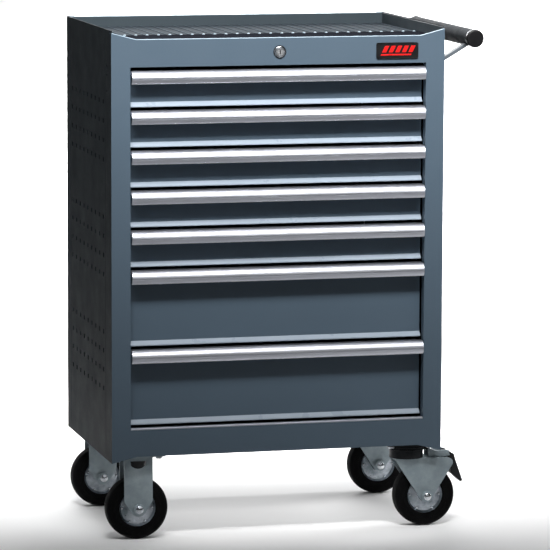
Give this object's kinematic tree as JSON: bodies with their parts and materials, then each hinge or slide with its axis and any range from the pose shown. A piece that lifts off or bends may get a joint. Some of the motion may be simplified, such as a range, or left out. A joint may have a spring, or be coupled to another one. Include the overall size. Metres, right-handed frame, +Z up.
{
  "type": "rolling tool chest",
  "caption": "Rolling steel tool chest: full-width drawers on slides under a mat-lined top tray, with a push handle, one lock for all drawers, and castors.",
  "frame": {"origin": "middle of the whole footprint at floor level, wheels, drawer handles and push handle included", "axes": "+X towards the push handle, -Y the drawer fronts, +Z up"},
  "size_m": [0.763, 0.447, 1.012],
  "materials": {
    "front_paint": "satin powder coat, slate blue-grey",
    "side_paint": "satin powder coat, anthracite",
    "handle_aluminium": "satin anodised extrusion",
    "slide_steel": "bright zinc-plated strip",
    "upright_steel": "satin powder coat, dark",
    "mat_rubber": "ribbed non-slip rubber",
    "zinc": "blue zinc-plated pressed steel",
    "bearing_dark": "zinc-plated, dusty and oiled",
    "bolt_zinc": "zinc-plated fasteners",
    "tyre_rubber": "solid black rubber",
    "black_plastic": "moulded, fine grain",
    "grip_grey": "dark grey sleeve",
    "lock_chrome": "nickel-plated zinc casting",
    "stay_grey": "satin powder coat, mid grey"
  },
  "bodies": {
    "cabinet": {"front_frame": "front_paint", "left_side_panel": "side_paint", "right_side_panel": "side_paint", "back_panel": "side_paint", "top_panel": "side_paint", "top_mat": "mat_rubber", "base_panel": "upright_steel", "slide_uprights": "upright_steel", "slide_outer_members": "slide_steel", "lock_housing": "lock_chrome", "name_badge": "black_plastic", "handle_brackets": "stay_grey", "handle_screws": "bolt_zinc", "handle_grip": "grip_grey", "handle_end_caps": "black_plastic", "fixed_castor_forks": "zinc", "swivel_castor_plates": "bearing_dark", "castor_bolts": "bolt_zinc"},
    "drawer_1": {"drawer_1_tray": "front_paint", "drawer_1_handle": "handle_aluminium", "drawer_1_runners": "slide_steel"},
    "slider_1": {"drawer_1_sliders": "slide_steel"},
    "drawer_2": {"drawer_2_tray": "front_paint", "drawer_2_handle": "handle_aluminium", "drawer_2_runners": "slide_steel"},
    "slider_2": {"drawer_2_sliders": "slide_steel"},
    "drawer_3": {"drawer_3_tray": "front_paint", "drawer_3_handle": "handle_aluminium", "drawer_3_runners": "slide_steel"},
    "slider_3": {"drawer_3_sliders": "slide_steel"},
    "drawer_4": {"drawer_4_tray": "front_paint", "drawer_4_handle": "handle_aluminium", "drawer_4_runners": "slide_steel"},
    "slider_4": {"drawer_4_sliders": "slide_steel"},
    "drawer_5": {"drawer_5_tray": "front_paint", "drawer_5_handle": "handle_aluminium", "drawer_5_runners": "slide_steel"},
    "slider_5": {"drawer_5_sliders": "slide_steel"},
    "drawer_6": {"drawer_6_tray": "front_paint", "drawer_6_handle": "handle_aluminium", "drawer_6_runners": "slide_steel"},
    "slider_6": {"drawer_6_sliders": "slide_steel"},
    "drawer_7": {"drawer_7_tray": "front_paint", "drawer_7_handle": "handle_aluminium", "drawer_7_runners": "slide_steel"},
    "slider_7": {"drawer_7_sliders": "slide_steel"},
    "lock": {"lock_plug": "lock_chrome", "lock_shaft": "bolt_zinc"},
    "lock_bar": {"lock_bar": "bolt_zinc"},
    "front_left_wheel": {"front_left_rim": "zinc", "front_left_tyre": "tyre_rubber"},
    "front_right_swivel": {"front_right_fork": "zinc"},
    "front_right_wheel": {"front_right_rim": "zinc", "front_right_tyre": "tyre_rubber"},
    "rear_left_wheel": {"rear_left_rim": "zinc", "rear_left_tyre": "tyre_rubber"},
    "rear_right_swivel": {"rear_right_fork": "zinc"},
    "rear_right_wheel": {"rear_right_rim": "zinc", "rear_right_tyre": "tyre_rubber"},
    "brake": {"front_right_brake_pedal": "black_plastic"}
  },
  "joints": [
    {"name": "drawer_1_slide", "type": "slide", "parent": "cabinet", "child": "drawer_1", "axis": [0, -1, 0], "range_m": [0, 0.38]},
    {"name": "slider_1_slide", "type": "slide", "parent": "cabinet", "child": "slider_1", "axis": [0, -1, 0], "range_m": [0, 0.19]},
    {"name": "drawer_2_slide", "type": "slide", "parent": "cabinet", "child": "drawer_2", "axis": [0, -1, 0], "range_m": [0, 0.38]},
    {"name": "slider_2_slide", "type": "slide", "parent": "cabinet", "child": "slider_2", "axis": [0, -1, 0], "range_m": [0, 0.19]},
    {"name": "drawer_3_slide", "type": "slide", "parent": "cabinet", "child": "drawer_3", "axis": [0, -1, 0], "range_m": [0, 0.38]},
    {"name": "slider_3_slide", "type": "slide", "parent": "cabinet", "child": "slider_3", "axis": [0, -1, 0], "range_m": [0, 0.19]},
    {"name": "drawer_4_slide", "type": "slide", "parent": "cabinet", "child": "drawer_4", "axis": [0, -1, 0], "range_m": [0, 0.38]},
    {"name": "slider_4_slide", "type": "slide", "parent": "cabinet", "child": "slider_4", "axis": [0, -1, 0], "range_m": [0, 0.19]},
    {"name": "drawer_5_slide", "type": "slide", "parent": "cabinet", "child": "drawer_5", "axis": [0, -1, 0], "range_m": [0, 0.38]},
    {"name": "slider_5_slide", "type": "slide", "parent": "cabinet", "child": "slider_5", "axis": [0, -1, 0], "range_m": [0, 0.19]},
    {"name": "drawer_6_slide", "type": "slide", "parent": "cabinet", "child": "drawer_6", "axis": [0, -1, 0], "range_m": [0, 0.38]},
    {"name": "slider_6_slide", "type": "slide", "parent": "cabinet", "child": "slider_6", "axis": [0, -1, 0], "range_m": [0, 0.19]},
    {"name": "drawer_7_slide", "type": "slide", "parent": "cabinet", "child": "drawer_7", "axis": [0, -1, 0], "range_m": [0, 0.38]},
    {"name": "slider_7_slide", "type": "slide", "parent": "cabinet", "child": "slider_7", "axis": [0, -1, 0], "range_m": [0, 0.19]},
    {"name": "lock_turn", "type": "hinge", "parent": "cabinet", "child": "lock", "pos_m": [-0.04, -0.2145, 0.9663], "axis": [0, 1, 0], "range_deg": [0, 90.5]},
    {"name": "lock_bar_slide", "type": "slide", "parent": "cabinet", "child": "lock_bar", "axis": [0, 0, -1], "range_m": [0, 0.0099]},
    {"name": "front_left_wheel_spin", "type": "hinge", "parent": "cabinet", "child": "front_left_wheel", "pos_m": [-0.319, -0.1665, 0.0625], "axis": [0, 1, 0], "continuous": true},
    {"name": "front_right_swivel_turn", "type": "hinge", "parent": "cabinet", "child": "front_right_swivel", "pos_m": [0.239, -0.1665, 0.15], "axis": [0, 0, 1], "continuous": true},
    {"name": "front_right_wheel_spin", "type": "hinge", "parent": "front_right_swivel", "child": "front_right_wheel", "pos_m": [0.275, -0.1665, 0.0625], "axis": [0, 1, 0], "continuous": true},
    {"name": "rear_left_wheel_spin", "type": "hinge", "parent": "cabinet", "child": "rear_left_wheel", "pos_m": [-0.319, 0.1755, 0.0625], "axis": [0, 1, 0], "continuous": true},
    {"name": "rear_right_swivel_turn", "type": "hinge", "parent": "cabinet", "child": "rear_right_swivel", "pos_m": [0.239, 0.1755, 0.15], "axis": [0, 0, 1], "continuous": true},
    {"name": "rear_right_wheel_spin", "type": "hinge", "parent": "rear_right_swivel", "child": "rear_right_wheel", "pos_m": [0.275, 0.1755, 0.0625], "axis": [0, 1, 0], "continuous": true},
    {"name": "brake_press", "type": "hinge", "parent": "front_right_swivel", "child": "brake", "pos_m": [0.3205, -0.1665, 0.1465], "axis": [0, 1, 0], "range_deg": [0, 8]}
  ],
  "couplings": [
    {"joint": "slider_1_slide", "follows": "drawer_1_slide", "ratio": 0.5},
    {"joint": "slider_2_slide", "follows": "drawer_2_slide", "ratio": 0.5},
    {"joint": "slider_3_slide", "follows": "drawer_3_slide", "ratio": 0.5},
    {"joint": "slider_4_slide", "follows": "drawer_4_slide", "ratio": 0.5},
    {"joint": "slider_5_slide", "follows": "drawer_5_slide", "ratio": 0.5},
    {"joint": "slider_6_slide", "follows": "drawer_6_slide", "ratio": 0.5},
    {"joint": "slider_7_slide", "follows": "drawer_7_slide", "ratio": 0.5},
    {"joint": "lock_turn", "follows": "lock_bar_slide", "rad_per_m": 158.67}
  ]
}
